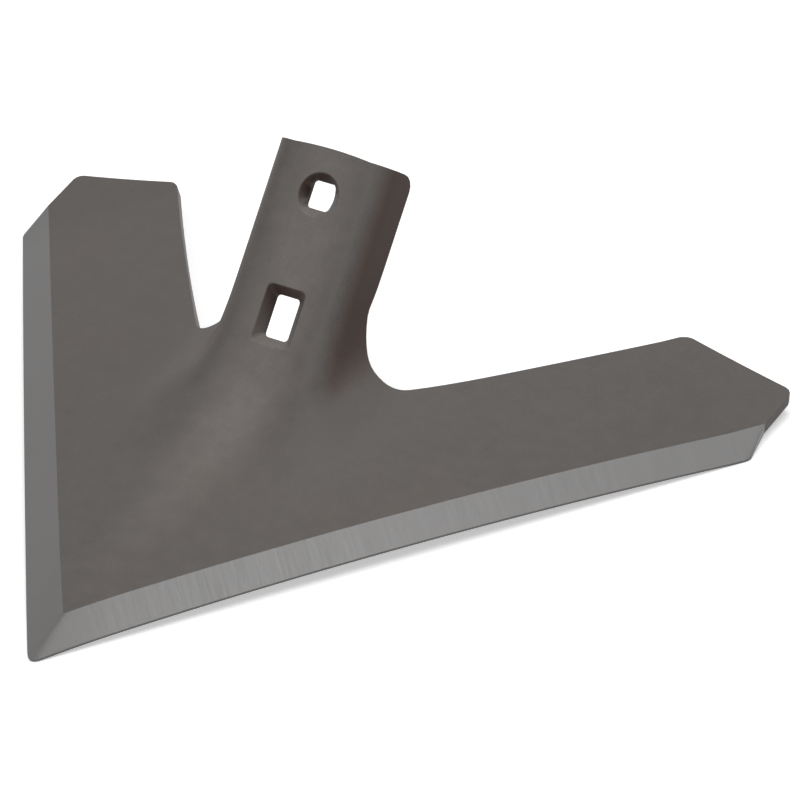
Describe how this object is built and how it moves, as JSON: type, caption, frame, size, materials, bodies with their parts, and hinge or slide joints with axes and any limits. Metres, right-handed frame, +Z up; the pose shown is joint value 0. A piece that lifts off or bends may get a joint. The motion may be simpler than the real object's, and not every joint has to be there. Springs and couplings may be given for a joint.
{
  "type": "chisel plough sweep",
  "caption": "Forged steel soil sweep with two raked wings, ground cutting edges and an upright channelled stem with countersunk square bolt holes.",
  "frame": {"origin": "on the ground plane under the middle of the sweep's overall width and length", "axes": "+Z up, -Y towards the nose in the direction of travel, +X to the right when the stem's front face is seen from in front of the nose"},
  "size_m": [0.4134, 0.3405, 0.1258],
  "materials": {
    "dark_steel": "dark warm grey, low sheen, lightly mottled forged skin"
  },
  "bodies": {
    "root": {"sweep": "dark_steel"}
  },
  "joints": []
}
